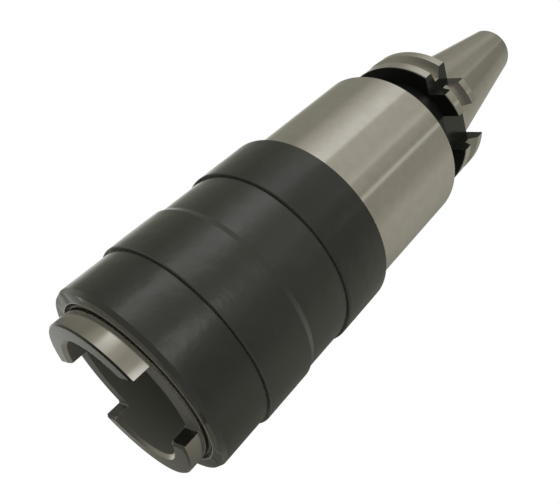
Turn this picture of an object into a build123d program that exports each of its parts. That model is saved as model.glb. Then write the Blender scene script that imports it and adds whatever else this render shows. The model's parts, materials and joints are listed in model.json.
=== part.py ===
from build123d import *
import math
import os

# Quick-change tapping chuck: a steep-taper shank with a hollow body, a spindle that floats
# both ways inside it on rolling balls, and a black release sleeve round the spindle's head.
#
# The axis is Z, with the shank up and the working end down. Z = 0 is the gauge plane of the
# taper, where its diameter is GAUGE_D. Angles turn about Z from +X. Lengths are millimetres.

# Shank, a 7/24 taper number 40, and its flange
GAUGE_D = 44.45
TAPER_RATIO = 7 / 24
TAPER_LENGTH = 68.4
TAPER_CHAMFER = 1.2
FLANGE_D = 63.55
FLANGE_SET_BACK = 3.2
FLANGE_WIDTH = 15.9
FLANGE_CHAMFER = 0.5

# Gripper groove round the flange
GRIP_GROOVE_SET_BACK = 11.1
GRIP_GROOVE_DEPTH = 3.65
GRIP_GROOVE_FLOOR = 2.9
GRIP_GROOVE_FLANK = 30.0

# Hole for the pull stud, at its thread's core diameter
PULL_PILOT_D = 17.0
PULL_PILOT_DEPTH = 8.2
PULL_CORE_D = 14.0
PULL_CORE_DEPTH = 43.0

# Drive slots and the notch that tells one from the other
DRIVE_SLOT_WIDTH = 16.1
DRIVE_SLOT_FLOOR_NEAR = 22.8
DRIVE_SLOT_FLOOR_FAR = 25.0
DRIVE_SLOT_RUN_OUT = 15.1
DRIVE_SLOT_ANGLE = -76.2
NOTCH_FLOOR = 25.95
NOTCH_ANGLE = -120.2

# Neck and hollow body below the flange
NECK_D = 50.0
NECK_LENGTH = 17.9
NECK_FILLET = 1.5
BODY_LENGTH = 88.0
BODY_WALL = 7.0
BODY_CHAMFER = 0.8
BODY_FLOOR = 12.0

# Rolling guide between the body and the spindle's stem
GUIDE_GAP = 4.0
GUIDE_BALL_D = 8.0
GUIDE_BALL_ROWS = 4
GUIDE_BALL_SPACING = 10.0
GUIDE_GROOVE_CLEARANCE = 0.25
GUIDE_GROOVE_SPARE = 1.5
CAGE_OVERHANG = 3.0
CAGE_END_GAP = 0.35
CAGE_CLEARANCE = 0.5
CAGE_HOLE_CLEARANCE = 0.1

# Bush and snap ring in the mouth of the body
BUSH_STEP = 3.0
BUSH_LENGTH = 8.0
BUSH_FIT = 0.05
BUSH_CHAMFER = 0.4
CLIP_LIP = 1.2
CLIP_THICKNESS = 1.4
CLIP_DEPTH = 1.4
CLIP_WALL = 3.0
CLIP_PLAY = 0.1
CLIP_OPENING = 14.0

# Float of the spindle, the same both ways
FLOAT = 20.0
FLOAT_CLEARANCE = 1.0

# Floating spindle
HEAD_LENGTH = 43.2
HEAD_CHAMFER = 0.6
COLLAR_STEP = 3.8
COLLAR_WIDTH = 2.4
ADAPTER_BORE_D = 48.0
ADAPTER_BORE_DEPTH = 41.3
ADAPTER_BORE_CHAMFER = 1.2
LUG_HEIGHT = 6.8
LUG_EDGE = 0.8
LUG_ROOT_FILLET = 0.8
LUG_GAP_WIDTH = 25.4
LUG_GAP_ANGLE = -90.0
STEM_WEB = 6.0
STEM_CHAMFER = 0.8

# Centre bolt, its washer and the two float springs
SPRING_D = 26.0
SPRING_WIRE_RADIAL = 3.6
SPRING_WIRE_AXIAL = 2.4
SPRING_ROOM = 1.0
SPRING_SEAT_GAP = 0.2
SPRING_POCKET_DEPTH = 25.0
PUSH_SPRING_TURNS = 7.0
PULL_SPRING_TURNS = 5.5
BOLT_D = 12.0
BOLT_THREAD_D = 10.2
BOLT_THREAD_LENGTH = 16.0
BOLT_THREAD_SPARE = 2.0
BOLT_THREAD_FIT = 0.05
BOLT_HEAD_D = 18.0
BOLT_HEAD_LENGTH = 7.0
BOLT_KEY_WIDTH = 10.0
BOLT_KEY_DEPTH = 4.5
BOLT_HOLE_CLEARANCE = 0.5
WASHER_OVERHANG = 2.0
WASHER_THICKNESS = 3.0
WASHER_FIT = 0.1
WASHER_ROOM = 1.0
SEAT_THICKNESS = 2.0

# Cover over the spring chamber
COVER_LEDGE = 2.6
COVER_THICKNESS = 2.0
COVER_KEY_HOLE_D = 12.0
COVER_FIT = 0.1
COVER_CLIP_LIP = 1.0
COVER_CLIP_THICKNESS = 1.2
COVER_CLIP_DEPTH = 1.2
COVER_CLIP_WALL = 2.4
COVER_CLIP_OPENING = 9.0

# Locking balls in the spindle head, the cone in the nose ring that lets them out and the
# shallow relief in the bore that keeps the edges of their holes off an adapter
LOCK_BALL_D = 9.0
LOCK_BALL_COUNT = 3
LOCK_BALL_HEIGHT = 23.6
LOCK_BALL_IN = 1.85
LOCK_BALL_OUT = 1.9
LOCK_BALL_GAP = 0.45
LOCK_BALL_HOLE_CLEARANCE = 0.15
LOCK_BALL_LIP = 0.7
LOCK_BALL_LIP_CLEARANCE = 0.1
LOCK_RELIEF_DEPTH = 0.3
LOCK_RELIEF_SPARE = 0.2
RELEASE_GROOVE_FLAT = 3.8

# Release sleeve unit: tail guard, release sleeve and nose ring
SLEEVE_TRAVEL = 7.0
SLEEVE_ROOM = 1.1
SLEEVE_CLEARANCE = 0.4
SLEEVE_WALL = 2.6
SLEEVE_LENGTH = 43.3
GRIP_SINK = 0.85
GRIP_LENGTH = 22.3
GRIP_CONE = 2.4
GUARD_PROUD = 0.15
GUARD_LENGTH = 23.6
RIM_ROUND = 0.4
NOSE_SINK = 1.15
NOSE_LENGTH = 21.1
NOSE_EDGE_AXIAL = 1.6
NOSE_EDGE_RADIAL = 0.8
NOSE_BORE_CLEARANCE = 0.1
NOSE_LAND = 0.9
NOSE_MOUTH_STEP = 1.4
NOSE_MOUTH_DEPTH = 2.1
NOSE_SEAT_RISE = 7.0
JOINT_ROUND = 0.3
JOINT_SHOULDER = 0.8
SPIGOT_LENGTH = 7.0
SPIGOT_SPARE = 0.2
SPIGOT_FIT = 0.05
WIPER_WIDTH = 3.0
WIPER_GAP = 0.3
WIPER_SINK = 0.9
WIPER_SET_IN = 2.4

# Sleeve spring, its seat washer and the wire ring that stops the sleeve
SLEEVE_SPRING_RADIAL = 2.0
SLEEVE_SPRING_AXIAL = 1.1
SLEEVE_SPRING_TURNS = 3.5
SLEEVE_SPRING_ROOM = 1.1
SEAT_WASHER_THICKNESS = 1.0
SEAT_WASHER_GAP = 0.3
STOP_RING_WIRE = 1.6
STOP_RING_SINK = 0.9
STOP_RING_GAP = 0.15
STOP_RING_FIT = 0.05
STOP_RING_OPENING = 12.0

# Radii, from the adapter bore outwards and then in again to the stem
adapter_bore_r = ADAPTER_BORE_D / 2
lock_ball_r = LOCK_BALL_D / 2
lock_ball_orbit = adapter_bore_r - LOCK_BALL_IN + lock_ball_r
lock_lip_r = adapter_bore_r + LOCK_BALL_LIP
lock_lip_hole_r = math.sqrt(lock_ball_r ** 2 - (lock_ball_orbit - lock_lip_r) ** 2) + LOCK_BALL_LIP_CLEARANCE
nose_bore_r = lock_ball_orbit + lock_ball_r + LOCK_BALL_GAP
release_r = nose_bore_r + LOCK_BALL_OUT
nose_mouth_r = nose_bore_r + NOSE_MOUTH_STEP
head_r = nose_bore_r - NOSE_BORE_CLEARANCE
collar_r = head_r + COLLAR_STEP
spring_chamber_r = collar_r + SEAT_WASHER_GAP
sleeve_bore_r = collar_r + SLEEVE_ROOM
sleeve_r = sleeve_bore_r + SLEEVE_WALL
guard_r = sleeve_r + GUARD_PROUD
grip_r = sleeve_r - GRIP_SINK
nose_r = sleeve_r - NOSE_SINK
guard_spigot_r = grip_r - JOINT_SHOULDER
nose_spigot_r = nose_r - JOINT_SHOULDER
body_r = sleeve_bore_r - SLEEVE_CLEARANCE
body_bore_r = body_r - BODY_WALL
bush_r = body_bore_r + BUSH_STEP
stem_r = body_bore_r - GUIDE_GAP
ball_orbit = (stem_r + body_bore_r) / 2
guide_groove_r = GUIDE_BALL_D / 2 + GUIDE_GROOVE_CLEARANCE
stop_ring_orbit = head_r + STOP_RING_WIRE / 2 - STOP_RING_SINK

# Radii round the centre bolt
bolt_hole_r = BOLT_D / 2 + BOLT_HOLE_CLEARANCE
spring_pocket_r = SPRING_D / 2 + SPRING_ROOM
washer_r = SPRING_D / 2 + WASHER_OVERHANG
chamber_r = washer_r + WASHER_ROOM
cover_seat_r = chamber_r + COVER_LEDGE

# Heights, from the gauge plane down
taper_small_r = (GAUGE_D - TAPER_RATIO * TAPER_LENGTH) / 2
flange_top = -FLANGE_SET_BACK
flange_bottom = flange_top - FLANGE_WIDTH
body_top = flange_bottom - NECK_LENGTH
body_bottom = body_top - BODY_LENGTH
body_floor = body_top - BODY_FLOOR
pocket_top = body_floor + SPRING_POCKET_DEPTH
clip_bottom = body_bottom + CLIP_LIP
clip_top = clip_bottom + CLIP_THICKNESS
bush_bottom = clip_top + CLIP_PLAY / 2
bush_top = bush_bottom + BUSH_LENGTH
cage_length = GUIDE_BALL_SPACING + GUIDE_BALL_D + 2 * CAGE_OVERHANG
cage_middle = bush_top + CAGE_END_GAP + FLOAT / 2 + cage_length / 2
guide_run = FLOAT + GUIDE_BALL_SPACING + 2 * guide_groove_r + GUIDE_GROOVE_SPARE
guide_groove_top = cage_middle + guide_run / 2
guide_groove_bottom = cage_middle - guide_run / 2
seat_top = body_floor - FLOAT - FLOAT_CLEARANCE
stem_top = seat_top - SEAT_THICKNESS
chamber_top = stem_top - STEM_WEB
head_top = body_bottom - FLOAT - FLOAT_CLEARANCE
collar_bottom = head_top - COLLAR_WIDTH
head_front = collar_bottom - HEAD_LENGTH
adapter_bore_top = head_front + ADAPTER_BORE_DEPTH
cover_clip_bottom = adapter_bore_top + COVER_CLIP_LIP
cover_bottom = cover_clip_bottom + COVER_CLIP_THICKNESS
cover_top = cover_bottom + COVER_THICKNESS
bolt_head_bottom = cover_top + FLOAT + FLOAT_CLEARANCE
bolt_head_top = bolt_head_bottom + BOLT_HEAD_LENGTH
washer_top = bolt_head_top + WASHER_THICKNESS

# Heights of the sleeve unit, from the locking balls
lock_ball_z = head_front + LOCK_BALL_HEIGHT
lock_relief_half = lock_ball_r + LOCK_RELIEF_SPARE
nose_shoulder = lock_ball_z + NOSE_SEAT_RISE
release_cone_bottom = lock_ball_z - SLEEVE_TRAVEL
release_bottom = release_cone_bottom - RELEASE_GROOVE_FLAT
nose_mouth_floor = release_bottom - LOCK_BALL_OUT - NOSE_LAND
nose_front = nose_mouth_floor - NOSE_MOUTH_DEPTH
sleeve_bottom = nose_front + NOSE_LENGTH
guard_bottom = sleeve_bottom + SLEEVE_LENGTH
guard_top = guard_bottom + GUARD_LENGTH
wiper_top = guard_top - WIPER_SET_IN
wiper_bottom = wiper_top - WIPER_WIDTH
stop_ring_z = nose_mouth_floor - STOP_RING_GAP - STOP_RING_WIRE / 2

# Angles and heights of the balls
guide_ball_heights = (cage_middle - GUIDE_BALL_SPACING / 2, cage_middle + GUIDE_BALL_SPACING / 2)
guide_ball_angles = [k * 360 / GUIDE_BALL_ROWS for k in range(GUIDE_BALL_ROWS)]
lock_ball_angles = [LUG_GAP_ANGLE + 90 + k * 360 / LOCK_BALL_COUNT for k in range(LOCK_BALL_COUNT)]


def turned(points, rounded=()):
    """Turns a half section, given as radius and height, about Z. Each rounded corner comes with its radius."""
    with BuildSketch(Plane.XZ) as section:
        with BuildLine():
            Polyline(*points, close=True)
        make_face()
        for corner, radius in rounded:
            fillet(section.vertices().sort_by_distance(corner)[0], radius)
    revolve(section.sketch, axis=Axis.Z)


def tube(inner, outer, bottom, top):
    """Plain ring between two radii and two heights."""
    with BuildSketch(Plane.XY.offset(bottom)) as section:
        Circle(outer)
        Circle(inner, mode=Mode.SUBTRACT)
    extrude(section.sketch, amount=top - bottom)


def polar(radius, angle, height):
    """Point at a radius, an angle about Z in degrees and a height."""
    turn = math.radians(angle)
    return (radius * math.cos(turn), radius * math.sin(turn), height)


def snap_ring(inner, outer, bottom, thickness, opening):
    """Flat spring ring, open at the side away from the first drive slot."""
    with BuildSketch(Plane.XY.offset(bottom)) as section:
        Circle(outer)
        Circle(inner, mode=Mode.SUBTRACT)
        with Locations((0, (inner + outer) / 2)):
            Rectangle(opening, 2 * (outer - inner), mode=Mode.SUBTRACT)
    extrude(section.sketch, amount=thickness)


def coil(outer_d, radial, axial, bottom, top, turns):
    """Spring of flat wire that lies just clear of the seats at its two ends."""
    first = bottom + axial / 2 + SPRING_SEAT_GAP
    last = top - axial / 2 - SPRING_SEAT_GAP
    radius = (outer_d - radial) / 2
    with BuildLine() as path:
        Helix(pitch=(last - first) / turns, height=last - first, radius=radius, center=(0, 0, first))
    with BuildSketch(Plane(origin=path.line @ 0, x_dir=(1, 0, 0), z_dir=(0, 1, 0))) as wire:
        Rectangle(radial, axial)
    sweep(wire.sketch, path=path.line, is_frenet=True)


def write(piece, name):
    """Labels a finished piece and writes it as its own file."""
    piece.part.label = name
    export_step(piece.part, f"parts/{name}.step")


os.makedirs("parts", exist_ok=True)

# Shank, flange, neck and hollow body, one forging
groove_floor_r = FLANGE_D / 2 - GRIP_GROOVE_DEPTH
groove_half_floor = GRIP_GROOVE_FLOOR / 2
groove_half_mouth = groove_half_floor + GRIP_GROOVE_DEPTH * math.tan(math.radians(GRIP_GROOVE_FLANK))
drive_slot_length = FLANGE_WIDTH + DRIVE_SLOT_RUN_OUT
with BuildPart() as shank_body:
    turned([
        (PULL_PILOT_D / 2, TAPER_LENGTH),
        (taper_small_r - TAPER_CHAMFER, TAPER_LENGTH),
        (taper_small_r + TAPER_CHAMFER * TAPER_RATIO / 2, TAPER_LENGTH - TAPER_CHAMFER),
        (GAUGE_D / 2, 0),
        (GAUGE_D / 2, flange_top),
        (FLANGE_D / 2 - FLANGE_CHAMFER, flange_top),
        (FLANGE_D / 2, flange_top - FLANGE_CHAMFER),
        (FLANGE_D / 2, -GRIP_GROOVE_SET_BACK + groove_half_mouth),
        (groove_floor_r, -GRIP_GROOVE_SET_BACK + groove_half_floor),
        (groove_floor_r, -GRIP_GROOVE_SET_BACK - groove_half_floor),
        (FLANGE_D / 2, -GRIP_GROOVE_SET_BACK - groove_half_mouth),
        (FLANGE_D / 2, flange_bottom + FLANGE_CHAMFER),
        (FLANGE_D / 2 - FLANGE_CHAMFER, flange_bottom),
        (NECK_D / 2, flange_bottom),
        (NECK_D / 2, body_top + NECK_FILLET),
        (NECK_D / 2 + NECK_FILLET, body_top),
        (body_r - BODY_CHAMFER, body_top),
        (body_r, body_top - BODY_CHAMFER),
        (body_r, body_bottom + BODY_CHAMFER),
        (body_r - BODY_CHAMFER, body_bottom),
        (bush_r, body_bottom),
        (bush_r, clip_bottom - CLIP_PLAY / 2),
        (bush_r + CLIP_DEPTH, clip_bottom - CLIP_PLAY / 2),
        (bush_r + CLIP_DEPTH, clip_top + CLIP_PLAY / 2),
        (bush_r, clip_top + CLIP_PLAY / 2),
        (bush_r, bush_top),
        (body_bore_r, bush_top),
        (body_bore_r, body_floor),
        (spring_pocket_r, body_floor),
        (spring_pocket_r, pocket_top),
        (BOLT_THREAD_D / 2, pocket_top),
        (BOLT_THREAD_D / 2, pocket_top + BOLT_THREAD_LENGTH + BOLT_THREAD_SPARE),
        (0, pocket_top + BOLT_THREAD_LENGTH + BOLT_THREAD_SPARE),
        (0, TAPER_LENGTH - PULL_CORE_DEPTH),
        (PULL_CORE_D / 2, TAPER_LENGTH - PULL_CORE_DEPTH),
        (PULL_CORE_D / 2, TAPER_LENGTH - PULL_PILOT_DEPTH),
        (PULL_PILOT_D / 2, TAPER_LENGTH - PULL_PILOT_DEPTH),
    ])
    # Two drive slots, one on each side, with floors at different depths
    for turn, floor in ((0, DRIVE_SLOT_FLOOR_NEAR), (180, DRIVE_SLOT_FLOOR_FAR)):
        outward = polar(1, DRIVE_SLOT_ANGLE + turn, 0)
        slot_plane = Plane(origin=polar(floor, DRIVE_SLOT_ANGLE + turn, flange_top),
                           x_dir=(0, 0, -1), z_dir=outward)
        with BuildSketch(slot_plane):
            with Locations((drive_slot_length / 2, 0)):
                Rectangle(drive_slot_length, DRIVE_SLOT_WIDTH)
        extrude(amount=FLANGE_D / 2, mode=Mode.SUBTRACT)
    # Right-angled notch across the rim
    with BuildSketch(Plane.XY.offset(flange_bottom).rotated((0, 0, NOTCH_ANGLE))):
        with BuildLine():
            Polyline((NOTCH_FLOOR, 0), (FLANGE_D, FLANGE_D - NOTCH_FLOOR),
                     (FLANGE_D, NOTCH_FLOOR - FLANGE_D), close=True)
        make_face()
    extrude(amount=FLANGE_WIDTH, mode=Mode.SUBTRACT)
    # Long grooves in the bore for the guide balls
    with BuildSketch(Plane.XY.offset(bush_top)):
        with PolarLocations(ball_orbit, GUIDE_BALL_ROWS):
            Circle(guide_groove_r)
    extrude(amount=guide_groove_top - bush_top, mode=Mode.SUBTRACT)
write(shank_body, "shank_body")

with BuildPart() as guide_bush:
    tube(stem_r + BUSH_FIT, bush_r, bush_bottom, bush_top)
    chamfer(guide_bush.edges().filter_by(GeomType.CIRCLE).sort_by(Axis.Z)[:2], BUSH_CHAMFER)
write(guide_bush, "guide_bush")

with BuildPart() as bush_clip:
    clip_outer_r = bush_r + CLIP_DEPTH - CLIP_PLAY
    snap_ring(clip_outer_r - CLIP_WALL, clip_outer_r, clip_bottom, CLIP_THICKNESS, CLIP_OPENING)
write(bush_clip, "bush_clip")

# Rolling guide: a cage with two balls in each of its rows
with BuildPart() as ball_cage:
    tube(stem_r + CAGE_CLEARANCE, body_bore_r - CAGE_CLEARANCE,
         cage_middle - cage_length / 2, cage_middle + cage_length / 2)
    for angle in guide_ball_angles:
        for height in guide_ball_heights:
            with BuildSketch(Plane(origin=(0, 0, height), x_dir=(0, 0, 1), z_dir=polar(1, angle, 0))):
                Circle(GUIDE_BALL_D / 2 + CAGE_HOLE_CLEARANCE)
            extrude(amount=body_bore_r, mode=Mode.SUBTRACT)
write(ball_cage, "ball_cage")

with BuildPart() as guide_balls:
    with Locations(*[polar(ball_orbit, a, h) for a in guide_ball_angles for h in guide_ball_heights]):
        Sphere(GUIDE_BALL_D / 2)
write(guide_balls, "guide_balls")

# Centre bolt with its washer, screwed up into the shank from below
with BuildPart() as centre_bolt:
    turned([
        (0, pocket_top + BOLT_THREAD_LENGTH),
        (BOLT_THREAD_D / 2 - BOLT_THREAD_FIT, pocket_top + BOLT_THREAD_LENGTH),
        (BOLT_THREAD_D / 2 - BOLT_THREAD_FIT, pocket_top),
        (BOLT_D / 2, pocket_top),
        (BOLT_D / 2, bolt_head_top),
        (BOLT_HEAD_D / 2, bolt_head_top),
        (BOLT_HEAD_D / 2, bolt_head_bottom),
        (0, bolt_head_bottom),
    ])
    with BuildSketch(Plane.XY.offset(bolt_head_bottom)):
        RegularPolygon(BOLT_KEY_WIDTH / 2, 6, major_radius=False)
    extrude(amount=BOLT_KEY_DEPTH, mode=Mode.SUBTRACT)
write(centre_bolt, "centre_bolt")

with BuildPart() as bolt_washer:
    tube(BOLT_D / 2 + WASHER_FIT, washer_r, bolt_head_top, washer_top)
write(bolt_washer, "bolt_washer")

with BuildPart() as push_spring:
    coil(SPRING_D, SPRING_WIRE_RADIAL, SPRING_WIRE_AXIAL, seat_top, pocket_top, PUSH_SPRING_TURNS)
write(push_spring, "push_spring")

with BuildPart() as pull_spring:
    coil(SPRING_D, SPRING_WIRE_RADIAL, SPRING_WIRE_AXIAL, washer_top, chamber_top, PULL_SPRING_TURNS)
write(pull_spring, "pull_spring")

# Floating spindle: stem, collar and head with two drive lugs
with BuildPart() as spindle:
    turned([
        (bolt_hole_r, stem_top),
        (stem_r - STEM_CHAMFER, stem_top),
        (stem_r, stem_top - STEM_CHAMFER),
        (stem_r, head_top),
        (collar_r, head_top),
        (collar_r, collar_bottom),
        (head_r, collar_bottom),
        (head_r, head_front + HEAD_CHAMFER),
        (head_r - HEAD_CHAMFER, head_front),
        (adapter_bore_r + ADAPTER_BORE_CHAMFER, head_front),
        (adapter_bore_r, head_front + ADAPTER_BORE_CHAMFER),
        (adapter_bore_r, lock_ball_z - lock_relief_half),
        (adapter_bore_r + LOCK_RELIEF_DEPTH, lock_ball_z - lock_relief_half),
        (adapter_bore_r + LOCK_RELIEF_DEPTH, lock_ball_z + lock_relief_half),
        (adapter_bore_r, lock_ball_z + lock_relief_half),
        (adapter_bore_r, adapter_bore_top),
        (cover_seat_r, adapter_bore_top),
        (cover_seat_r, cover_clip_bottom),
        (cover_seat_r + COVER_CLIP_DEPTH, cover_clip_bottom),
        (cover_seat_r + COVER_CLIP_DEPTH, cover_bottom),
        (cover_seat_r, cover_bottom),
        (cover_seat_r, cover_top),
        (chamber_r, cover_top),
        (chamber_r, chamber_top),
        (bolt_hole_r, chamber_top),
    ])
    # Grooves along the stem for the guide balls
    with BuildSketch(Plane.XY.offset(guide_groove_bottom)):
        with PolarLocations(ball_orbit, GUIDE_BALL_ROWS):
            Circle(guide_groove_r)
    extrude(amount=stem_top - guide_groove_bottom, mode=Mode.SUBTRACT)
    # One slot milled right across the front leaves the two drive lugs
    half_gap = LUG_GAP_WIDTH / 2
    with BuildSketch(Plane(origin=(0, 0, head_front), x_dir=polar(1, LUG_GAP_ANGLE + 90, 0),
                           z_dir=polar(1, LUG_GAP_ANGLE, 0))) as gap:
        with BuildLine():
            Polyline((-half_gap, LUG_HEIGHT), (half_gap, LUG_HEIGHT), (half_gap, LUG_EDGE),
                     (half_gap + 2 * LUG_EDGE, -LUG_EDGE), (-half_gap - 2 * LUG_EDGE, -LUG_EDGE),
                     (-half_gap, LUG_EDGE), close=True)
        make_face()
        fillet(gap.vertices().sort_by(Axis.Y)[-2:], LUG_ROOT_FILLET)
    extrude(amount=2 * head_r, both=True, mode=Mode.SUBTRACT)
    # Radial holes for the locking balls, with a lip that keeps them out of the empty bore
    for angle in lock_ball_angles:
        outward = polar(1, angle, 0)
        with BuildSketch(Plane(origin=(0, 0, lock_ball_z), x_dir=(0, 0, 1), z_dir=outward)):
            Circle(lock_lip_hole_r)
        extrude(amount=2 * head_r, mode=Mode.SUBTRACT)
        lip_end = polar(lock_lip_r, angle, lock_ball_z)
        with BuildSketch(Plane(origin=lip_end, x_dir=(0, 0, 1), z_dir=outward)):
            Circle(lock_ball_r + LOCK_BALL_HOLE_CLEARANCE)
        extrude(amount=2 * head_r, mode=Mode.SUBTRACT)
    # Groove for the wire ring
    with BuildSketch(Plane.XZ):
        with Locations((stop_ring_orbit, stop_ring_z)):
            Circle(STOP_RING_WIRE / 2 + STOP_RING_FIT)
    revolve(axis=Axis.Z, mode=Mode.SUBTRACT)
write(spindle, "spindle")

with BuildPart() as spring_seat:
    tube(bolt_hole_r, washer_r, stem_top, seat_top)
write(spring_seat, "spring_seat")

with BuildPart() as chamber_cover:
    tube(COVER_KEY_HOLE_D / 2, cover_seat_r - COVER_FIT, cover_bottom, cover_top)
write(chamber_cover, "chamber_cover")

with BuildPart() as cover_clip:
    cover_clip_outer_r = cover_seat_r + COVER_CLIP_DEPTH - COVER_FIT
    snap_ring(cover_clip_outer_r - COVER_CLIP_WALL, cover_clip_outer_r, cover_clip_bottom,
              COVER_CLIP_THICKNESS, COVER_CLIP_OPENING)
write(cover_clip, "cover_clip")

with BuildPart() as stop_ring:
    ring_turn = 360 - math.degrees(STOP_RING_OPENING / stop_ring_orbit)
    with BuildSketch(Plane.XZ.rotated((0, 0, (360 - ring_turn) / 2 + LUG_GAP_ANGLE + 180))) as wire:
        with Locations((stop_ring_orbit, stop_ring_z)):
            Circle(STOP_RING_WIRE / 2)
    revolve(wire.sketch, axis=Axis.Z, revolution_arc=ring_turn)
write(stop_ring, "stop_ring")

# Release sleeve unit, three rings screwed together
with BuildPart() as tail_guard:
    turned([
        (sleeve_bore_r, guard_top),
        (guard_r, guard_top),
        (guard_r, guard_bottom),
        (guard_spigot_r + SPIGOT_FIT, guard_bottom),
        (guard_spigot_r + SPIGOT_FIT, guard_bottom + SPIGOT_LENGTH + SPIGOT_SPARE),
        (sleeve_bore_r, guard_bottom + SPIGOT_LENGTH + SPIGOT_SPARE),
        (sleeve_bore_r, wiper_bottom),
        (sleeve_bore_r + WIPER_SINK, wiper_bottom),
        (sleeve_bore_r + WIPER_SINK, wiper_top),
        (sleeve_bore_r, wiper_top),
    ], rounded=[((guard_r, guard_top), RIM_ROUND), ((guard_r, guard_bottom), RIM_ROUND)])
write(tail_guard, "tail_guard")

with BuildPart() as guard_wiper:
    tube(body_r + WIPER_GAP, sleeve_bore_r + WIPER_SINK, wiper_bottom, wiper_top)
write(guard_wiper, "guard_wiper")

with BuildPart() as release_sleeve:
    turned([
        (sleeve_bore_r, guard_bottom + SPIGOT_LENGTH),
        (guard_spigot_r, guard_bottom + SPIGOT_LENGTH),
        (guard_spigot_r, guard_bottom),
        (grip_r, guard_bottom),
        (grip_r, guard_bottom - GRIP_LENGTH + GRIP_CONE),
        (sleeve_r, guard_bottom - GRIP_LENGTH),
        (sleeve_r, sleeve_bottom),
        (nose_spigot_r + SPIGOT_FIT, sleeve_bottom),
        (nose_spigot_r + SPIGOT_FIT, sleeve_bottom + SPIGOT_LENGTH + SPIGOT_SPARE),
        (sleeve_bore_r, sleeve_bottom + SPIGOT_LENGTH + SPIGOT_SPARE),
    ], rounded=[((grip_r, guard_bottom), JOINT_ROUND), ((sleeve_r, sleeve_bottom), RIM_ROUND)])
write(release_sleeve, "release_sleeve")

with BuildPart() as nose_ring:
    turned([
        (spring_chamber_r, sleeve_bottom + SPIGOT_LENGTH),
        (nose_spigot_r, sleeve_bottom + SPIGOT_LENGTH),
        (nose_spigot_r, sleeve_bottom),
        (nose_r, sleeve_bottom),
        (nose_r, nose_front + NOSE_EDGE_AXIAL),
        (nose_r - NOSE_EDGE_RADIAL, nose_front),
        (nose_mouth_r, nose_front),
        (nose_mouth_r, nose_mouth_floor),
        (nose_bore_r, nose_mouth_floor),
        (nose_bore_r, release_bottom - LOCK_BALL_OUT),
        (release_r, release_bottom),
        (release_r, release_cone_bottom),
        (nose_bore_r, lock_ball_z),
        (nose_bore_r, nose_shoulder),
        (spring_chamber_r, nose_shoulder),
    ], rounded=[((nose_r, sleeve_bottom), JOINT_ROUND)])
write(nose_ring, "nose_ring")

with BuildPart() as spring_washer:
    tube(head_r + SEAT_WASHER_GAP, spring_chamber_r - SEAT_WASHER_GAP,
         nose_shoulder, nose_shoulder + SEAT_WASHER_THICKNESS)
write(spring_washer, "spring_washer")

with BuildPart() as sleeve_spring:
    coil(2 * (spring_chamber_r - SLEEVE_SPRING_ROOM), SLEEVE_SPRING_RADIAL, SLEEVE_SPRING_AXIAL,
         nose_shoulder + SEAT_WASHER_THICKNESS, collar_bottom, SLEEVE_SPRING_TURNS)
write(sleeve_spring, "sleeve_spring")

for number, angle in enumerate(lock_ball_angles, start=1):
    with BuildPart() as locking_ball:
        with Locations(polar(lock_ball_orbit, angle, lock_ball_z)):
            Sphere(lock_ball_r)
    write(locking_ball, f"locking_ball_{number}")
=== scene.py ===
"""Finishes, spring coils, light and camera for a floating quick-change tapping chuck."""

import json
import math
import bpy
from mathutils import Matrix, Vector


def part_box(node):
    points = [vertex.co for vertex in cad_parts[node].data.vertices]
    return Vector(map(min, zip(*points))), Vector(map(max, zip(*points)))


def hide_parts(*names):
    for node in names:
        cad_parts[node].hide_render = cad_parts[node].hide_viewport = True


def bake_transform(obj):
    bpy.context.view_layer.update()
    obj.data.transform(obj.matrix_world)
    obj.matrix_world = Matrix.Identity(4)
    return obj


bl_info = {
    "name": "Tapping Chuck",
    "version": (1, 0, 0),
    "blender": (4, 5, 0),
    "location": "3D View > Sidebar > Tapping Chuck",
    "description": "Dresses the tapping chuck with its steel finishes and sets it in a light dome",
    "category": "Object",
}

import bpy
from bpy.props import FloatProperty, FloatVectorProperty, PointerProperty
from mathutils import Matrix, Vector

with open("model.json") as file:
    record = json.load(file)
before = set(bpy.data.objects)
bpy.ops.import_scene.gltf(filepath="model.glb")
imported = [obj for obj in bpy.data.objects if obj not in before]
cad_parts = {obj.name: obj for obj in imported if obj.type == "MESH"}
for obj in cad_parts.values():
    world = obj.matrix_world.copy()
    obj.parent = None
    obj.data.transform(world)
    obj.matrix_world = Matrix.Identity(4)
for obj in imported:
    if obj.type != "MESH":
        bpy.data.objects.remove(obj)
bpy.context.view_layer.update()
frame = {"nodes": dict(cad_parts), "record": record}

MM_PER_METRE = 1000.0

# Which pieces share a finish
OXIDE_PIECES = ("release_sleeve", "nose_ring", "chamber_cover", "centre_bolt")
SPRING_PIECES = ("bush_clip", "cover_clip", "spring_washer", "spring_seat", "bolt_washer",
                 "push_spring", "pull_spring", "sleeve_spring")
BRASS_PIECES = ("guide_bush", "ball_cage")
BALL_PIECES = ("guide_balls", "locking_ball_1", "locking_ball_2", "locking_ball_3")

# Places on the shank where the finish changes, in millimetres and degrees
SLOT_ANGLE = -76.2
SLOT_HALF_WIDTH = 8.1
SLOT_FLOOR = 22.6
NOTCH_ANGLE = -120.2
NOTCH_FLOOR = 25.9
GROOVE_RADIUS = 31.65
GAUGE_EDGE = -3.1
RIM_TOP = -3.4
RIM_END = -18.85
BODY_RADIUS = 35.35

# Places on the spindle where the finish changes, in millimetres
HEAD_RADIUS = 31.3
HEAD_END = -191.02
STEM_RADIUS = 22.7
STEM_END = -146.0
BORE_RADIUS = 24.4
BORE_EDGE_RADIUS = 25.15
BORE_EDGE_TOP = -190.45
GAP_FLOOR = -184.8
GAP_REACH = 0.1

# Places on the sleeve where a lighter colour is painted in as light on places that lie in shade, in
# millimetres:
# its mouth, and the steps at the lower ends of two of its rings
MOUTH_RADIUS = 33.4
STEPPED_RINGS = ("tail_guard", "release_sleeve")
STEP_REACH = 0.2

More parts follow.
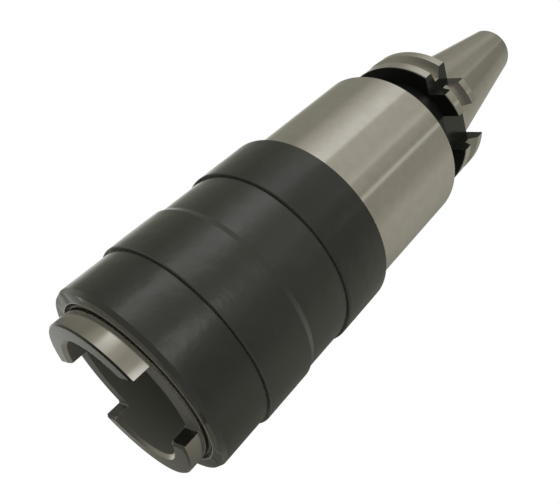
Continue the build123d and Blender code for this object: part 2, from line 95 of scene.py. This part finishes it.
# Fine rings left by machining: how many to a millimetre, and how ragged they are
STEEL_MARKS = 6.0
OXIDE_MARKS = 5.0
INNER_MARKS = 4.0
MARK_DETAIL = 3.0

# Soft patches: how many to a millimetre, and how ragged they are
STEEL_PATCHES = (0.25, 5.0)
OXIDE_PATCHES = (0.12, 5.0)
OXIDE_WAVES = (0.14, 3.0)
WIPER_GRAIN = (1.0, 2.0)
FLOOR_GRAIN = (0.01, 2.0)

# How far patches and rings darken and lighten a colour, and lower and raise a roughness
GROUND_TINTS = (0.89, 1.09)
BLACK_TINTS = (0.85, 1.2)
INNER_TINTS = (0.9, 1.08)
GROUND_SPREAD = (0.8, 1.2)
OILED_SPREAD = (0.9, 1.1)
OXIDE_SPREAD = (0.4, 1.6)
INNER_SPREAD = (0.85, 1.15)

# Relief of the fine rings and of the slightly uneven black rings: depth in metres, and strength
STEEL_RELIEF = (0.000002, 0.2)
OXIDE_RELIEF = (0.0000015, 0.4)
WAVE_RELIEF = (0.00032, 0.6)

# Finishes of the small pieces
SPRING_ROUGHNESS = 0.28
WIRE_ROUGHNESS = 0.45
BRASS_ROUGHNESS = 0.30
BALL_ROUGHNESS = 0.06
WIPER_GREYS = (0.018, 0.028)
WIPER_ROUGHNESS = 0.55

# How a copied spring is closed, in metres, and the angle up to which it is smooth
COIL_MERGE = 0.000001
COIL_EDGE = math.radians(40)

# Where the camera stands and how far it sees, in metres and degrees, and its sensor in millimetres
CAMERA_PLACE = (-0.0750, -0.1838, -0.2297)
CAMERA_BEARING = -22.56
CAMERA_TILT = 120.96
CAMERA_ROLL = 46.45
CAMERA_NEAR = 0.01
CAMERA_FAR = 50.0
CAMERA_SENSOR = 36.0

# The lamps: name, bearing in degrees, height in metres and share of the key power
LAMPS = (("key", 207.0, 0.35, 1.0), ("fill", 300.0, 0.1, 0.6))
LAMP_DISTANCE = 1.1
LAMP_WIDTH = 0.3
LAMP_LENGTH = 1.2

FLOOR_SIDES = 96
FLOOR_GREYS = (0.90, 0.92)
FLOOR_ROUGHNESS = 0.9

# Bearing in degrees of the dome's side straight behind the chuck, where the angles round it start
DOME_BEHIND = 67.8
DOME_SEGMENTS = 96
DOME_ROWS = 48

# Brightness of the light dome by the angle round it, in degrees. The rings go up from below the
# horizon, past the lugs, the sleeve and the body, to the taper.
UNDER_RING = ((0, 0.05), (14, 0.08), (26, 0.28), (334, 0.28), (346, 0.08))
HORIZON_RING = ((0, 0.70), (10, 1.20), (40, 0.60), (180, 0.50), (335, 0.30), (352, 0.42))
LUG_RING = (
    (0, 0.3), (8, 1.0), (16, 0.8), (24, 0.16), (60, 0.2), (92, 0.22), (110, 0.38), (118, 0.6),
    (126, 0.58), (138, 0.44), (150, 0.34), (165, 0.42), (171, 1.05), (186, 1.0), (200, 0.36),
    (285, 0.2), (350, 0.09),
)
NOSE_RING = (
    (0, 0.1), (8, 1.0), (14, 1.6), (22, 1.3), (34, 0.66), (50, 0.3), (96, 0.25), (112, 0.38),
    (119, 1.0), (128, 0.82), (137, 0.44), (150, 0.34), (166, 0.36), (180, 1.1), (189, 0.44),
    (200, 0.25), (224, 0.16), (262, 0.29), (320, 0.18), (354, 0.10),
)
SLEEVE_RING = (
    (0, 0.15), (8, 1.1), (14, 1.45), (22, 1.25), (36, 0.55), (48, 0.36), (92, 0.28), (110, 0.43),
    (127, 0.88), (137, 0.9), (148, 0.48), (160, 0.38), (184, 0.4), (207, 0.28), (240, 0.26),
    (272, 0.32), (330, 0.18), (354, 0.20),
)
BODY_RING = (
    (0, 0.2), (8, 1.15), (14, 1.35), (20, 1.2), (26, 0.68), (34, 0.36), (46, 0.29), (88, 0.32),
    (112, 0.58), (128, 0.78), (140, 0.82), (143, 0.53), (172, 0.5), (182, 0.6), (185, 0.44),
    (203, 0.34), (205, 0.64), (208, 0.64), (210, 0.34), (234, 0.35), (256, 0.46), (290, 0.42),
    (330, 0.29), (354, 0.22),
)
TAPER_RING = (
    (0, 0.4), (8, 1.1), (14, 1.35), (22, 1.25), (30, 0.78), (38, 0.46), (46, 0.31), (56, 0.28),
    (96, 0.34), (116, 0.42), (130, 0.40), (146, 0.33), (176, 0.36), (188, 0.42), (198, 0.28),
    (244, 0.25), (262, 0.31), (300, 0.36), (354, 0.38),
)

# The dome from foot to top, by heights in degrees. Between its two heights the level of the foot
# gives way to the lowest ring, then each ring to the next, and the last ring to the level of the top.
DOME_FOOT = (-60.0, -42.0, 0.08)
DOME_STEPS = (
    (HORIZON_RING, -22.0, -9.0), (LUG_RING, -5.0, 4.0), (NOSE_RING, 8.5, 11.5),
    (SLEEVE_RING, 15.0, 23.0), (BODY_RING, 27.0, 40.0), (TAPER_RING, 47.0, 58.0),
)
DOME_TOP = (72.0, 80.0, 0.15)

# Tint of the dome where it is dim and where it is bright, and the levels between the two
DOME_DIM_TINT = (1.0, 0.99, 0.84, 1.0)
DOME_BRIGHT_TINT = (1.0, 1.0, 0.96, 1.0)
DOME_TINT_LEVELS = (0.3, 0.9)


def shade(value):
    """A grey as a colour."""
    return (value, value, value, 1.0)


def tinted(colour, factor):
    """A colour made lighter or darker."""
    return tuple(min(1.0, factor * part) for part in colour) + (1.0,)


def plug(tree, socket, value):
    """Gives a socket a number, a colour or another node's output."""
    if isinstance(value, bpy.types.NodeSocket):
        tree.links.new(value, socket)
    else:
        socket.default_value = value


def calc(tree, operation, *values):
    """One Math node; each value is a number or another node's output."""
    node = tree.nodes.new("ShaderNodeMath")
    node.operation = operation
    for socket, value in zip(node.inputs, values):
        plug(tree, socket, value)
    return node.outputs["Value"]


def above(tree, value, limit):
    """Mask of the places where a value is over a limit."""
    return calc(tree, "GREATER_THAN", value, limit)


def below(tree, value, limit):
    """Mask of the places where a value is under a limit."""
    return calc(tree, "LESS_THAN", value, limit)


def near(tree, value, place, reach):
    """Mask of the places where a value is within reach of another."""
    return calc(tree, "COMPARE", value, place, reach)


def both(tree, first, second):
    """Mask of the places that are in two masks."""
    return calc(tree, "MULTIPLY", first, second)


def either(tree, first, second):
    """Mask of the places that are in one of two masks, or in both."""
    return calc(tree, "MAXIMUM", first, second)


def rise(tree, value, low, high):
    """Rises smoothly from 0 at low to 1 at high."""
    node = tree.nodes.new("ShaderNodeMapRange")
    node.interpolation_type = "SMOOTHSTEP"
    tree.links.new(value, node.inputs["Value"])
    node.inputs["From Min"].default_value = low
    node.inputs["From Max"].default_value = high
    return node.outputs["Result"]


def spread(tree, value, low, high):
    """Spreads a value between 0 and 1 over another range."""
    node = tree.nodes.new("ShaderNodeMapRange")
    tree.links.new(value, node.inputs["Value"])
    node.inputs["To Min"].default_value = low
    node.inputs["To Max"].default_value = high
    return node.outputs["Result"]


def blend(tree, factor, first, second):
    """Mixes two colours by a factor."""
    node = tree.nodes.new("ShaderNodeMix")
    node.data_type = "RGBA"
    ends = [socket for socket in node.inputs if socket.type == "RGBA"]
    amount = next(socket for socket in node.inputs if socket.name == "Factor" and socket.type == "VALUE")
    tree.links.new(factor, amount)
    for socket, value in zip(ends, (first, second)):
        plug(tree, socket, value)
    return next(socket for socket in node.outputs if socket.type == "RGBA")


def between(tree, factor, first, second):
    """Mixes two numbers by a factor."""
    kept = calc(tree, "MULTIPLY", calc(tree, "SUBTRACT", 1.0, factor), first)
    return calc(tree, "ADD", kept, calc(tree, "MULTIPLY", factor, second))


def varied_colour(tree, factor, colour, tints):
    """A colour that a factor takes from its darker to its lighter tint."""
    darker, lighter = tints
    return blend(tree, factor, tinted(colour, darker), tinted(colour, lighter))


def varied_roughness(tree, factor, roughness, shares):
    """A roughness that a factor takes from its lower to its higher share."""
    lower, higher = shares
    return spread(tree, factor, roughness * lower, roughness * higher)


def places(tree):
    """Object coordinates in millimetres: x, y, z and the distance from the chuck's axis."""
    coordinates = tree.nodes.new("ShaderNodeTexCoord")
    parts = tree.nodes.new("ShaderNodeSeparateXYZ")
    tree.links.new(coordinates.outputs["Object"], parts.inputs["Vector"])
    x, y, z = (calc(tree, "MULTIPLY", parts.outputs[axis], MM_PER_METRE) for axis in "XYZ")
    square = calc(tree, "ADD", calc(tree, "MULTIPLY", x, x), calc(tree, "MULTIPLY", y, y))
    return x, y, z, calc(tree, "SQRT", square)


def turned_place(tree, x, y, degrees):
    """The place along a direction at an angle about the axis, and how far to the side of it."""
    turn = math.radians(degrees)
    along = calc(tree, "ADD", calc(tree, "MULTIPLY", x, math.cos(turn)),
                 calc(tree, "MULTIPLY", y, math.sin(turn)))
    across = calc(tree, "SUBTRACT", calc(tree, "MULTIPLY", y, math.cos(turn)),
                  calc(tree, "MULTIPLY", x, math.sin(turn)))
    return along, calc(tree, "ABSOLUTE", across)


def noise(tree, first, second, third, detail):
    """Noise at a place given as three numbers."""
    vector = tree.nodes.new("ShaderNodeCombineXYZ")
    for socket, value in zip(vector.inputs, (first, second, third)):
        plug(tree, socket, value)
    node = tree.nodes.new("ShaderNodeTexNoise")
    node.inputs["Scale"].default_value = 1.0
    node.inputs["Detail"].default_value = detail
    tree.links.new(vector.outputs["Vector"], node.inputs["Vector"])
    return node.outputs["Fac"]


def clouds(tree, x, y, z, patches):
    """Soft patches all over a piece."""
    per_mm, detail = patches
    return noise(tree, *(calc(tree, "MULTIPLY", place, per_mm) for place in (x, y, z)), detail)


def turning_marks(tree, z, radius, per_mm):
    """Fine rings that a turned or ground surface carries round the axis."""
    along = calc(tree, "MULTIPLY", z, per_mm)
    outwards = calc(tree, "MULTIPLY", radius, per_mm)
    return noise(tree, along, outwards, 0.0, MARK_DETAIL)


def relief(tree, height, form, under=None):
    """Turns a height into a bump, which may lie on another one."""
    depth, strength = form
    bump = tree.nodes.new("ShaderNodeBump")
    bump.inputs["Distance"].default_value = depth
    bump.inputs["Strength"].default_value = strength
    tree.links.new(height, bump.inputs["Height"])
    if under:
        tree.links.new(under, bump.inputs["Normal"])
    return bump.outputs["Normal"]


def new_finish(name):
    """A fresh material, its node tree and its shader."""
    finish = bpy.data.materials.new(name)
    finish.use_nodes = True
    tree = finish.node_tree
    shader = next(node for node in tree.nodes if node.type == "BSDF_PRINCIPLED")
    return finish, tree, shader


def put_on(finish, names):
    """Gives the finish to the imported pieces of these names."""
    for name in names:
        slots = frame["nodes"][name].material_slots
        for slot in slots:
            slot.material = finish
        if not slots:
            frame["nodes"][name].data.materials.append(finish)


def lower_end(name):
    """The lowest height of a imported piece, in millimetres."""
    return MM_PER_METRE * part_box(name)[0].z


def shank_zones(tree, x, y, z, radius):
    """Masks on the shank: its bright steel, the groove in its flange, and its dull black neck."""
    slot_along, slot_across = turned_place(tree, x, y, SLOT_ANGLE)
    in_slot = both(tree, below(tree, slot_across, SLOT_HALF_WIDTH),
                   above(tree, calc(tree, "ABSOLUTE", slot_along), SLOT_FLOOR))
    notch_along, notch_across = turned_place(tree, x, y, NOTCH_ANGLE)
    in_notch = above(tree, calc(tree, "SUBTRACT", notch_along, notch_across), NOTCH_FLOOR)
    uncut = calc(tree, "SUBTRACT", 1.0, either(tree, in_slot, in_notch))
    rim = both(tree, both(tree, above(tree, z, RIM_END), below(tree, z, RIM_TOP)), uncut)
    taper = above(tree, z, GAUGE_EDGE)
    body = above(tree, radius, BODY_RADIUS)
    bright = either(tree, either(tree, rim, taper), body)
    groove = both(tree, rim, below(tree, radius, GROOVE_RADIUS))
    neck = below(tree, z, RIM_END)
    return bright, groove, neck


def spindle_zones(tree, x, y, z, radius):
    """Masks on the spindle: its bright steel, the part that is only turned, and its dry bore."""
    head = both(tree, above(tree, radius, HEAD_RADIUS), above(tree, z, HEAD_END))
    stem = both(tree, above(tree, radius, STEM_RADIUS), above(tree, z, STEM_END))
    edge = both(tree, below(tree, radius, BORE_EDGE_RADIUS), below(tree, z, BORE_EDGE_TOP))
    turned = either(tree, stem, edge)
    bright = either(tree, head, turned)
    dry = either(tree, below(tree, radius, BORE_RADIUS), near(tree, z, GAP_FLOOR, GAP_REACH))
    return bright, turned, dry


def two_steels(name, settings, zones, dull_colour, dull_roughness, gloss):
    """Ground, turned and blackened steel on one piece.

    The zones are masks: bright steel, the bright steel that is only turned, and the black that is dull.
    The gloss of the black is given as an index of refraction.
    """
    finish, tree, shader = new_finish(name)
    x, y, z, radius = places(tree)
    bright, turned, dull = zones(tree, x, y, z, radius)
    marks = turning_marks(tree, z, radius, STEEL_MARKS)
    cloud = clouds(tree, x, y, z, STEEL_PATCHES)
    ground = varied_colour(tree, cloud, settings.ground_colour, GROUND_TINTS)
    oiled = varied_colour(tree, cloud, settings.black_colour, BLACK_TINTS)
    black = blend(tree, dull, oiled, tinted(dull_colour, 1.0))
    tree.links.new(blend(tree, bright, black, ground), shader.inputs["Base Color"])
    tree.links.new(bright, shader.inputs["Metallic"])
    ground_rough = varied_roughness(tree, marks, settings.ground_roughness, GROUND_SPREAD)
    bright_rough = between(tree, turned, ground_rough, settings.turned_roughness)
    oiled_rough = varied_roughness(tree, marks, settings.black_roughness, OILED_SPREAD)
    black_rough = between(tree, dull, oiled_rough, dull_roughness)
    tree.links.new(between(tree, bright, black_rough, bright_rough), shader.inputs["Roughness"])
    shader.inputs["IOR"].default_value = gloss
    tree.links.new(relief(tree, marks, STEEL_RELIEF), shader.inputs["Normal"])
    return finish


def black_oxide(name, settings, gloss):
    """Oiled black finish of a turned ring, with the gloss given as an index of refraction.

    The steps where the sleeve's rings meet are painted a little lighter, and all nearer the axis than the
    mouth lighter still: painted light on places that lie in shade.
    """
    finish, tree, shader = new_finish(name)
    x, y, z, radius = places(tree)
    marks = turning_marks(tree, z, radius, OXIDE_MARKS)
    cloud = clouds(tree, x, y, z, OXIDE_PATCHES)
    oiled = varied_colour(tree, cloud, settings.black_colour, BLACK_TINTS)
    # Painted light: the steps where the rings meet get a lighter colour, lifting the shade that lies on
    # them
    steps = (near(tree, z, lower_end(ring), STEP_REACH) for ring in STEPPED_RINGS)
    outside = blend(tree, either(tree, *steps), oiled, tinted(settings.step_painted_light, 1.0))
    # Painted light: everything on these pieces nearer the axis than the mouth gets a lighter colour,
    # lifting the shade in the gap
    inside = below(tree, radius, MOUTH_RADIUS)
    colour = blend(tree, inside, outside, tinted(settings.mouth_painted_light, 1.0))
    tree.links.new(colour, shader.inputs["Base Color"])
    roughness = varied_roughness(tree, cloud, settings.black_roughness, OXIDE_SPREAD)
    tree.links.new(roughness, shader.inputs["Roughness"])
    shader.inputs["IOR"].default_value = gloss
    waves = relief(tree, clouds(tree, x, y, z, OXIDE_WAVES), WAVE_RELIEF)
    tree.links.new(relief(tree, marks, OXIDE_RELIEF, waves), shader.inputs["Normal"])
    return finish


def turned_metal(name, colour, roughness):
    """Bare metal with the fine rings of turning."""
    finish, tree, shader = new_finish(name)
    z, radius = places(tree)[2:]
    marks = turning_marks(tree, z, radius, INNER_MARKS)
    tree.links.new(varied_colour(tree, marks, colour, INNER_TINTS), shader.inputs["Base Color"])
    tree.links.new(varied_roughness(tree, marks, roughness, INNER_SPREAD), shader.inputs["Roughness"])
    shader.inputs["Metallic"].default_value = 1.0
    return finish


def grained_grey(name, greys, grain, roughness):
    """Dull grey with a soft grain, for plastic and paper."""
    finish, tree, shader = new_finish(name)
    x, y, z = places(tree)[:3]
    darker, lighter = greys
    colour = blend(tree, clouds(tree, x, y, z, grain), shade(darker), shade(lighter))
    tree.links.new(colour, shader.inputs["Base Color"])
    shader.inputs["Roughness"].default_value = roughness
    return finish


class ChuckFinishSettings(bpy.types.PropertyGroup):
    """Colours and roughness of the chuck's finishes."""

    ground_colour: FloatVectorProperty(
        name="Ground steel", description="Colour of the ground taper, rim, body and lugs",
        subtype="COLOR", size=3, min=0.0, max=1.0, default=(0.60, 0.572, 0.53))
    ground_roughness: FloatProperty(
        name="Ground roughness", description="How far ground steel spreads a reflection",
        subtype="FACTOR", min=0.0, max=1.0, default=0.11)
    turned_roughness: FloatProperty(
        name="Turned roughness", description="How far turned steel spreads a reflection",
        subtype="FACTOR", min=0.0, max=1.0, default=0.32)
    black_colour: FloatVectorProperty(
        name="Blackened steel", description="Colour of the black oxide finish",
        subtype="COLOR", size=3, min=0.0, max=1.0, default=(0.0085, 0.0105, 0.0065))
    black_roughness: FloatProperty(
        name="Black roughness", description="How far the black oxide finish spreads a reflection",
        subtype="FACTOR", min=0.0, max=1.0, default=0.22)
    black_gloss: FloatProperty(
        name="Black gloss", description="Index of refraction of the oiled black finish",
        min=1.0, max=3.0, default=1.9)
    guard_gloss: FloatProperty(
        name="Guard gloss", description="Index of refraction of the duller tail guard",
        min=1.0, max=3.0, default=1.7)
    neck_colour: FloatVectorProperty(
        name="Neck", description="Colour of the dull black neck behind the flange",
        subtype="COLOR", size=3, min=0.0, max=1.0, default=(0.006, 0.006, 0.005))
    neck_roughness: FloatProperty(
        name="Neck roughness", description="How far the dull black neck spreads a reflection",
        subtype="FACTOR", min=0.0, max=1.0, default=0.45)
    neck_gloss: FloatProperty(
        name="Neck gloss", description="Index of refraction of the black places of the shank",
        min=1.0, max=3.0, default=1.5)
    bore_colour: FloatVectorProperty(
        name="Bore", description="Colour of the dry dull finish in the adapter bore",
        subtype="COLOR", size=3, min=0.0, max=1.0, default=(0.11, 0.11, 0.085))
    bore_roughness: FloatProperty(
        name="Bore roughness", description="How far the bore spreads a reflection",
        subtype="FACTOR", min=0.0, max=1.0, default=0.50)
    brass_colour: FloatVectorProperty(
        name="Brass", description="Colour of the guide bush and the ball cage",
        subtype="COLOR", size=3, min=0.0, max=1.0, default=(0.70, 0.50, 0.22))
    ball_colour: FloatVectorProperty(
        name="Ball steel", description="Colour of the guide balls and the locking balls",
        subtype="COLOR", size=3, min=0.0, max=1.0, default=(0.75, 0.74, 0.72))
    spring_colour: FloatVectorProperty(
        name="Spring steel", description="Colour of the springs, rings and washers",
        subtype="COLOR", size=3, min=0.0, max=1.0, default=(0.42, 0.41, 0.38))
    # Painted light: a lighter colour on the shaded steps where the sleeve's rings meet
    step_painted_light: FloatVectorProperty(
        name="Joints", description="Colour of the dry steps where the sleeve's rings meet",
        subtype="COLOR", size=3, min=0.0, max=1.0, default=(0.045, 0.046, 0.038))
    # Painted light: a lighter colour on the shaded inside of the sleeve's rings and all nearer the axis
    mouth_painted_light: FloatVectorProperty(
        name="Mouth", description="Colour of the dry inside of the sleeve's rings",
        subtype="COLOR", size=3, min=0.0, max=1.0, default=(0.24, 0.24, 0.20))
    wire_colour: FloatVectorProperty(
        name="Ring wire", description="Colour of the dark wire ring in the mouth",
        subtype="COLOR", size=3, min=0.0, max=1.0, default=(0.24, 0.235, 0.21))


class ChuckStageSettings(bpy.types.PropertyGroup):
    """Light dome, floor, lamps and camera."""

    floor_drop: FloatProperty(
        name="Floor drop", description="How far the floor lies below the gauge plane",
        unit="LENGTH", min=0.3, default=1.5)
    floor_radius: FloatProperty(
        name="Floor radius", description="How far the floor reaches round the chuck",
        unit="LENGTH", min=1.0, default=18.0)
    dome_radius: FloatProperty(
        name="Dome radius", description="Distance from the chuck to the light dome",
        unit="LENGTH", min=1.0, default=3.0)
    dome_level: FloatProperty(
        name="Dome level", description="Brightness of the light dome as the steel mirrors it",
        min=0.0, default=1.0)
    room_level: FloatProperty(
        name="Room level", description="Brightness of the even light from all round",
        min=0.0, default=0.7)
    key_power: FloatProperty(
        name="Key power", description="Power of the long soft lamp on the left",
        unit="POWER", min=0.0, default=0.5)
    lens: FloatProperty(
        name="Lens", description="Focal length of the camera, in millimetres",
        unit="CAMERA", min=10.0, default=38.88)


class CHUCK_OT_shank_finish(bpy.types.Operator):
    """Finish the shank: ground taper, rim and body, blackened neck and slots"""

    bl_idname = "chuck.shank_finish"
    bl_label = "Shank finish"

    def execute(self, context):
        settings = context.scene.chuck_finish
        finish = two_steels("shank_steel", settings, shank_zones, settings.neck_colour,
                            settings.neck_roughness, settings.neck_gloss)
        put_on(finish, ("shank_body",))
        return {"FINISHED"}


class CHUCK_OT_spindle_finish(bpy.types.Operator):
    """Finish the spindle: ground outside and stem, blackened bore, fronts and gap"""

    bl_idname = "chuck.spindle_finish"
    bl_label = "Spindle finish"

    def execute(self, context):
        settings = context.scene.chuck_finish
        finish = two_steels("spindle_steel", settings, spindle_zones, settings.bore_colour,
                            settings.bore_roughness, settings.black_gloss)
        put_on(finish, ("spindle",))
        return {"FINISHED"}


class CHUCK_OT_sleeve_finish(bpy.types.Operator):
    """Finish the black sleeve rings, the cover, the centre bolt and the wiper"""

    bl_idname = "chuck.sleeve_finish"
    bl_label = "Sleeve finish"

    def execute(self, context):
        settings = context.scene.chuck_finish
        put_on(black_oxide("black_oxide", settings, settings.black_gloss), OXIDE_PIECES)
        put_on(black_oxide("dull_oxide", settings, settings.guard_gloss), ("tail_guard",))
        wiper = grained_grey("wiper_plastic", WIPER_GREYS, WIPER_GRAIN, WIPER_ROUGHNESS)
        put_on(wiper, ("guard_wiper",))
        return {"FINISHED"}


class CHUCK_OT_inner_finish(bpy.types.Operator):
    """Finish the springs, rings, washers, balls, bush and cage"""

    bl_idname = "chuck.inner_finish"
    bl_label = "Inner finishes"

    def execute(self, context):
        settings = context.scene.chuck_finish
        plans = (
            ("spring_steel", settings.spring_colour, SPRING_ROUGHNESS, SPRING_PIECES),
            ("ring_wire", settings.wire_colour, WIRE_ROUGHNESS, ("stop_ring",)),
            ("turned_brass", settings.brass_colour, BRASS_ROUGHNESS, BRASS_PIECES),
            ("ball_steel", settings.ball_colour, BALL_ROUGHNESS, BALL_PIECES),
        )
        for name, colour, roughness, pieces in plans:
            put_on(turned_metal(name, colour, roughness), pieces)
        return {"FINISHED"}


class CHUCK_OT_spring_coils(bpy.types.Operator):
    """Put closed, smoothly shaded copies in place of the packed springs"""

    bl_idname = "chuck.spring_coils"
    bl_label = "Spring coils"

    def execute(self, context):
        for joint in frame["record"]["behaviour"]["joints"]:
            for spring in joint.get("deforming_nodes", ()):
                held_end = spring["fixed_end_z_m"]
                ends = (corner.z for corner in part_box(spring["node"]))
                moving_end = max(ends, key=lambda end: abs(end - held_end))
                coil = self.closed_copy(context, spring["node"])
                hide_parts(spring["node"])
                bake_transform(coil)
        return {"FINISHED"}

    def closed_copy(self, context, name):
        """A closed copy of a packed spring, with its finish."""
        coil = bpy.data.objects.new(f"{name}_coil", frame["nodes"][name].data.copy())
        context.collection.objects.link(coil)
        bpy.ops.object.select_all(action="DESELECT")
        coil.select_set(True)
        context.view_layer.objects.active = coil
        bpy.ops.object.mode_set(mode="EDIT")
        bpy.ops.mesh.select_all(action="SELECT")
        bpy.ops.mesh.remove_doubles(threshold=COIL_MERGE)
        bpy.ops.object.mode_set(mode="OBJECT")
        bpy.ops.object.shade_smooth_by_angle(angle=COIL_EDGE)
        return coil


class CHUCK_OT_stage(bpy.types.Operator):
    """Set up the floor, the light dome, the lamps and the camera"""

    bl_idname = "chuck.stage"
    bl_label = "Stage"

    def execute(self, context):
        stage = context.scene.chuck_stage
        self.world(context, stage)
        self.floor(stage)
        self.dome(stage)
        self.lamps(stage)
        self.camera(context, stage)
        context.scene.view_settings.view_transform = "Standard"
        return {"FINISHED"}

    def world(self, context, stage):
        """Even light on the chuck, and white for the camera and in its reflections."""
        world = bpy.data.worlds.new("studio")
        world.use_nodes = True
        context.scene.world = world
        tree = world.node_tree
        background = next(node for node in tree.nodes if node.type == "BACKGROUND")
        path = tree.nodes.new("ShaderNodeLightPath")
        mirrored = either(tree, path.outputs["Is Glossy Ray"], path.outputs["Is Transmission Ray"])
        seen = either(tree, path.outputs["Is Camera Ray"], mirrored)
        background.inputs["Color"].default_value = shade(1.0)
        tree.links.new(spread(tree, seen, stage.room_level, 1.0), background.inputs["Strength"])

    def floor(self, stage):
        """Plain pale floor."""
        bpy.ops.object.select_all(action="DESELECT")
        bpy.ops.mesh.primitive_circle_add(vertices=FLOOR_SIDES, radius=stage.floor_radius,
                                          fill_type="NGON", location=(0, 0, -stage.floor_drop))
        floor = bpy.context.object
        floor.name = "studio_floor"
        bpy.ops.object.transform_apply(location=True, rotation=True, scale=True)
        paper = grained_grey("floor_paper", FLOOR_GREYS, FLOOR_GRAIN, FLOOR_ROUGHNESS)
        floor.data.materials.append(paper)
        floor.visible_glossy = False

    def dome(self, stage):
        """Light dome that only reflections show, with bright and dark stretches round it."""
        bpy.ops.object.select_all(action="DESELECT")
        bpy.ops.mesh.primitive_uv_sphere_add(segments=DOME_SEGMENTS, ring_count=DOME_ROWS,
                                             radius=stage.dome_radius)
        dome = bpy.context.object
        dome.name = "light_dome"
        dome.data.materials.append(self.dome_cloth(stage))
        dome.visible_camera = False
        dome.visible_diffuse = False
        dome.visible_shadow = False

    def dome_cloth(self, stage):
        """Glowing cloth whose brightness follows the rings, one above the other."""
        cloth = bpy.data.materials.new("dome_cloth")
        cloth.use_nodes = True
        tree = cloth.node_tree
        tree.nodes.clear()
        x, y, z, radius = places(tree)
        turn = calc(tree, "DIVIDE", calc(tree, "ARCTAN2", y, x), 2 * math.pi)
        # Two whole turns more keep the angle positive
        round_it = calc(tree, "FRACT", calc(tree, "ADD", turn, 2.0 - DOME_BEHIND / 360))
        height = calc(tree, "MULTIPLY", calc(tree, "ARCTAN2", z, radius), 180 / math.pi)
        lower, upper, foot_level = DOME_FOOT
        foot = rise(tree, height, lower, upper)
        level = between(tree, foot, foot_level, self.ring(tree, round_it, UNDER_RING))
        for bands, lower, upper in DOME_STEPS:
            level = between(tree, rise(tree, height, lower, upper), level, self.ring(tree, round_it, bands))
        lower, upper, top_level = DOME_TOP
        level = between(tree, rise(tree, height, lower, upper), level, top_level)
        tint = blend(tree, rise(tree, level, *DOME_TINT_LEVELS), DOME_DIM_TINT, DOME_BRIGHT_TINT)
        glow = tree.nodes.new("ShaderNodeEmission")
        tree.links.new(tint, glow.inputs["Color"])
        tree.links.new(calc(tree, "MULTIPLY", level, stage.dome_level), glow.inputs["Strength"])
        output = tree.nodes.new("ShaderNodeOutputMaterial")
        tree.links.new(glow.outputs["Emission"], output.inputs["Surface"])
        return cloth

    def ring(self, tree, round_it, bands):
        """Brightness round the dome, from a list of angles and levels."""
        ramp = tree.nodes.new("ShaderNodeValToRGB")
        tree.links.new(round_it, ramp.inputs["Fac"])
        stops = ramp.color_ramp.elements
        # Each new stop starts in the middle and gets its place below
        while len(stops) < len(bands) + 1:
            stops.new(0.5)
        for stop, (angle, level) in zip(stops, bands + ((360, bands[0][1]),)):
            stop.position = angle / 360
            stop.color = shade(level)
        return ramp.outputs["Color"]

    def lamps(self, stage):
        """Two long soft lamps for the parts that do not mirror."""
        for name, bearing, height, share in LAMPS:
            turn = math.radians(bearing)
            place = Vector((LAMP_DISTANCE * math.cos(turn), LAMP_DISTANCE * math.sin(turn), height))
            bpy.ops.object.light_add(type="AREA", location=place)
            lamp = bpy.context.object
            lamp.name = f"{name}_lamp"
            lamp.data.shape = "RECTANGLE"
            lamp.data.size = LAMP_WIDTH
            lamp.data.size_y = LAMP_LENGTH
            lamp.data.energy = share * stage.key_power
            lamp.rotation_euler = (-place).to_track_quat("-Z", "Y").to_euler()
            lamp.visible_glossy = False

    def camera(self, context, stage):
        """Camera at the photograph's viewing angle, low in front of the mouth."""
        bpy.ops.object.camera_add(location=CAMERA_PLACE)
        camera = bpy.context.object
        camera.name = "camera"
        turn = (Matrix.Rotation(math.radians(CAMERA_BEARING), 3, "Z")
                @ Matrix.Rotation(math.radians(CAMERA_TILT), 3, "X")
                @ Matrix.Rotation(math.radians(CAMERA_ROLL), 3, "Z"))
        camera.rotation_euler = turn.to_euler()
        camera.data.sensor_width = CAMERA_SENSOR
        camera.data.lens = stage.lens
        camera.data.clip_start = CAMERA_NEAR
        camera.data.clip_end = CAMERA_FAR
        context.scene.camera = camera


OPERATORS = (
    CHUCK_OT_shank_finish, CHUCK_OT_spindle_finish, CHUCK_OT_sleeve_finish, CHUCK_OT_inner_finish,
    CHUCK_OT_spring_coils, CHUCK_OT_stage,
)


class CHUCK_PT_panel(bpy.types.Panel):
    """Steps that dress and stage the chuck"""

    bl_idname = "CHUCK_PT_panel"
    bl_label = "Tapping Chuck"
    bl_space_type = "VIEW_3D"
    bl_region_type = "UI"
    bl_category = "Tapping Chuck"

    def draw(self, context):
        for group in (context.scene.chuck_finish, context.scene.chuck_stage):
            box = self.layout.box()
            for name in group.__annotations__:
                box.prop(group, name)
        for operator in OPERATORS:
            self.layout.operator(operator.bl_idname)


CLASSES = (ChuckFinishSettings, ChuckStageSettings) + OPERATORS + (CHUCK_PT_panel,)


def register():
    for cls in CLASSES:
        bpy.utils.register_class(cls)
    bpy.types.Scene.chuck_finish = PointerProperty(type=ChuckFinishSettings)
    bpy.types.Scene.chuck_stage = PointerProperty(type=ChuckStageSettings)


def unregister():
    del bpy.types.Scene.chuck_stage
    del bpy.types.Scene.chuck_finish
    for cls in reversed(CLASSES):
        bpy.utils.unregister_class(cls)


def main():
    register()
    bpy.ops.chuck.shank_finish()
    bpy.ops.chuck.spindle_finish()
    bpy.ops.chuck.sleeve_finish()
    bpy.ops.chuck.inner_finish()
    bpy.ops.chuck.spring_coils()
    bpy.ops.chuck.stage()


if __name__ == "__main__":
    main()
